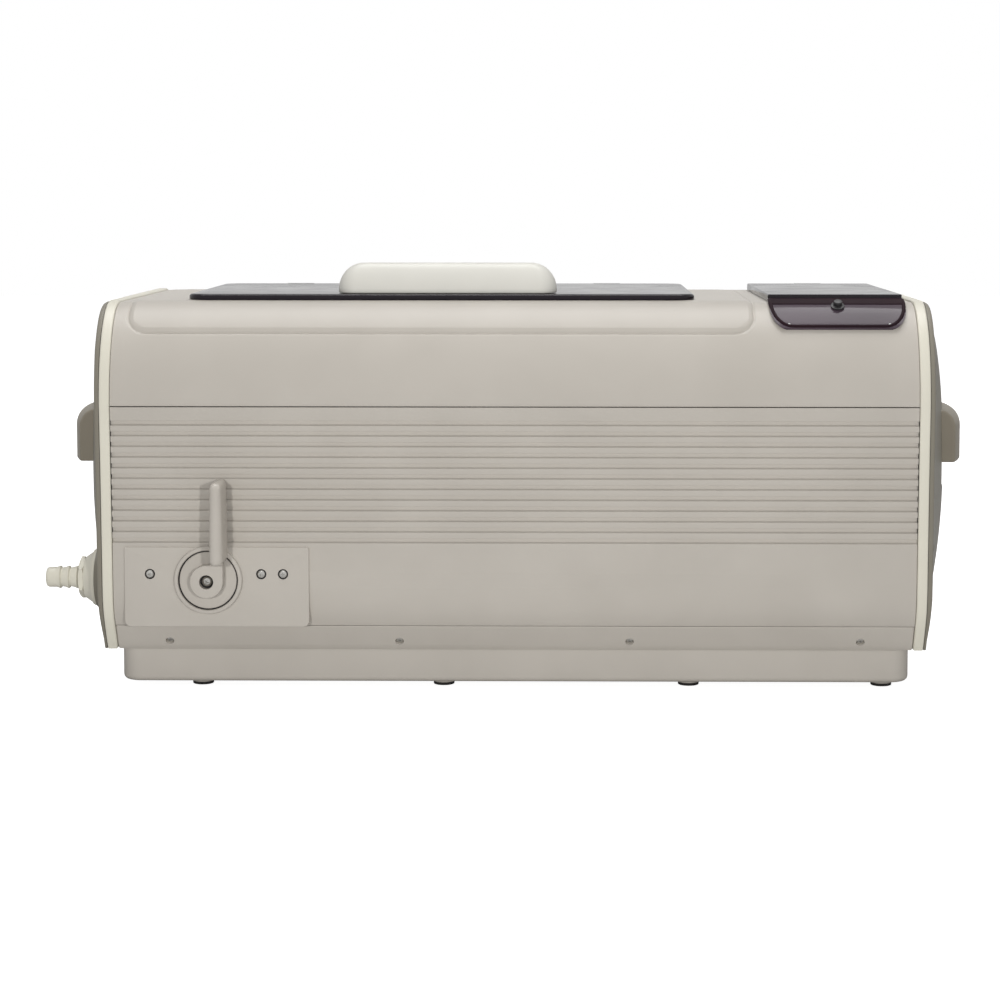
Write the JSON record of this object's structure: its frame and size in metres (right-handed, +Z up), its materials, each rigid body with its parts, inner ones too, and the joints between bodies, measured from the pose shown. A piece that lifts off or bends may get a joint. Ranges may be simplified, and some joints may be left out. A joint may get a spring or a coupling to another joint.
{
  "type": "ultrasonic cleaner",
  "caption": "Long bench-top ultrasonic cleaner: ribbed casing with domed ends, hinged smoked lids over tank and controls, front drain lever and a side hose barb.",
  "frame": {"origin": "on the ground under the middle of the bounding box", "axes": "+X to the right along the long side, +Y from front to back, +Z up; the front face with the drain lever looks along -Y"},
  "size_m": [0.636, 0.319, 0.2864],
  "materials": {
    "warm_grey_abs": "fine moulded texture, warm grey",
    "cream_abs": "smooth satin, cream",
    "beige_abs": "fine moulded texture, beige",
    "smoked_acrylic": "polished, dark smoked purple, see-through",
    "black_nylon": "moulded black",
    "rocker_red": "gloss red rocker",
    "black_rubber": "moulded",
    "stainless_steel": "drawn stainless sheet and turned parts",
    "cast_aluminium": "turned or extruded",
    "nickelled_brass": "nickel plated",
    "transformer_iron": "varnished laminations",
    "circuit_board": "green solder mask"
  },
  "bodies": {
    "casing": {"upper_shell": "warm_grey_abs", "front_panel": "warm_grey_abs", "rear_panel": "warm_grey_abs", "base_tray": "warm_grey_abs", "end_trim_left": "cream_abs", "end_trim_right": "cream_abs", "end_cap_left": "beige_abs", "end_cap_right": "beige_abs", "carry_handle_left": "beige_abs", "carry_handle_right": "beige_abs", "tank": "stainless_steel", "tank_gasket": "black_rubber", "tank_drain_fitting": "stainless_steel", "heater_pad": "black_rubber", "lid_hinge_1": "stainless_steel", "lid_hinge_2": "stainless_steel", "lid_hinge_pin": "stainless_steel", "cover_hinge": "stainless_steel", "cover_hinge_pin": "stainless_steel", "control_plate": "black_nylon", "control_board": "circuit_board", "display_window": "smoked_acrylic", "valve_plate": "warm_grey_abs", "valve_bezel": "warm_grey_abs", "valve_body": "nickelled_brass", "drain_hose": "black_rubber", "outlet_hose": "black_rubber", "drain_spigot": "cream_abs", "spigot_nut": "cream_abs", "power_inlet": "black_nylon", "switch_housing": "black_nylon", "fan_frame": "black_nylon", "driver_board": "circuit_board", "heat_sink": "cast_aluminium", "transformer": "transformer_iron", "foot_front_1": "black_rubber", "foot_rear_1": "black_rubber", "transducer_1": "cast_aluminium", "foot_front_2": "black_rubber", "foot_rear_2": "black_rubber", "transducer_2": "cast_aluminium", "foot_front_3": "black_rubber", "foot_rear_3": "black_rubber", "transducer_3": "cast_aluminium", "foot_front_4": "black_rubber", "foot_rear_4": "black_rubber", "transducer_4": "cast_aluminium"},
    "lid": {"tank_lid": "smoked_acrylic", "lid_handle": "cream_abs"},
    "cover": {"panel_cover": "smoked_acrylic", "cover_knob": "black_nylon"},
    "lever": {"valve_lever": "warm_grey_abs", "lever_screw": "stainless_steel", "valve_ball": "stainless_steel"},
    "button_1": {"button_1": "cream_abs"},
    "button_2": {"button_2": "cream_abs"},
    "button_3": {"button_3": "cream_abs"},
    "rocker": {"switch_rocker": "rocker_red"},
    "fan": {"fan_rotor": "black_nylon"}
  },
  "joints": [
    {"name": "lid_hinge", "type": "hinge", "parent": "casing", "child": "lid", "pos_m": [-0.0473, 0.1044, 0.2638], "axis": [-1, 0, 0], "range_deg": [0, 100]},
    {"name": "cover_hinge", "type": "hinge", "parent": "casing", "child": "cover", "pos_m": [0.21865, 0.1044, 0.2638], "axis": [-1, 0, 0], "range_deg": [0, 100]},
    {"name": "lever_turn", "type": "hinge", "parent": "casing", "child": "lever", "pos_m": [-0.2003, -0.1292, 0.0772], "axis": [0, 1, 0], "range_deg": [0, 90]},
    {"name": "switch_rock", "type": "hinge", "parent": "casing", "child": "rocker", "pos_m": [0.061, 0.1548, 0.088], "axis": [1, 0, 0], "range_deg": [0, 14]},
    {"name": "fan_spin", "type": "hinge", "parent": "casing", "child": "fan", "pos_m": [0.198, 0.135, 0.118], "axis": [0, 1, 0], "continuous": true},
    {"name": "button_1_press", "type": "slide", "parent": "casing", "child": "button_1", "axis": [0, 0, -1], "range_m": [0, 0.001], "stiffness_N_per_m": 400},
    {"name": "button_2_press", "type": "slide", "parent": "casing", "child": "button_2", "axis": [0, 0, -1], "range_m": [0, 0.001], "stiffness_N_per_m": 400},
    {"name": "button_3_press", "type": "slide", "parent": "casing", "child": "button_3", "axis": [0, 0, -1], "range_m": [0, 0.001], "stiffness_N_per_m": 400}
  ]
}
